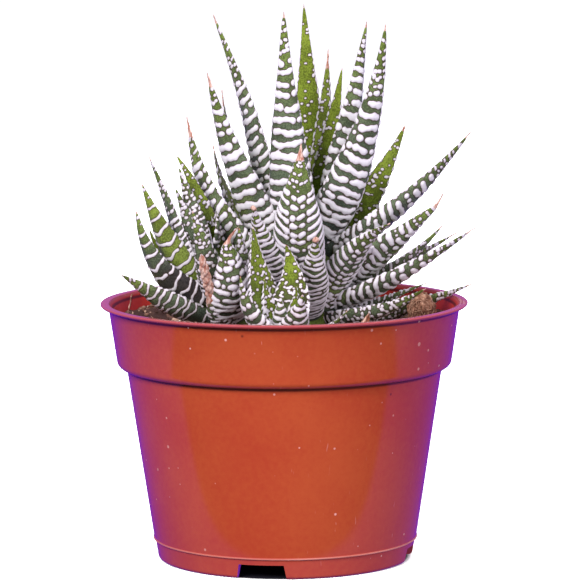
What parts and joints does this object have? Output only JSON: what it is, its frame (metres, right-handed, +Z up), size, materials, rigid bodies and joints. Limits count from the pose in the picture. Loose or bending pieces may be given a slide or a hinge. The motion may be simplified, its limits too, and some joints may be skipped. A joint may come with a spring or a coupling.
{
  "type": "potted haworthia",
  "caption": "Clump of zebra-banded succulent rosettes rooted in soil in a round tapered nursery pot with a collar and a flared lip.",
  "frame": {"origin": "on the standing plane, on the pot's axis", "axes": "+Z up; -Y is the front, where the front offset stands; +X to the right of the front"},
  "size_m": [0.107, 0.105, 0.1575],
  "materials": {
    "pot_plastic": "glossy moulded plastic, terracotta orange",
    "soil": "loose dark brown potting mix with pale crumbs",
    "leaf": "waxy dark green leaf with raised white cross bands, brighter green inner face",
    "peat": "dry fibrous brown peat"
  },
  "bodies": {
    "root": {"pot": "pot_plastic", "soil": "soil", "rosette_main": "leaf", "rosette_left": "leaf", "rosette_front": "leaf", "peat_lump": "peat"}
  },
  "joints": []
}
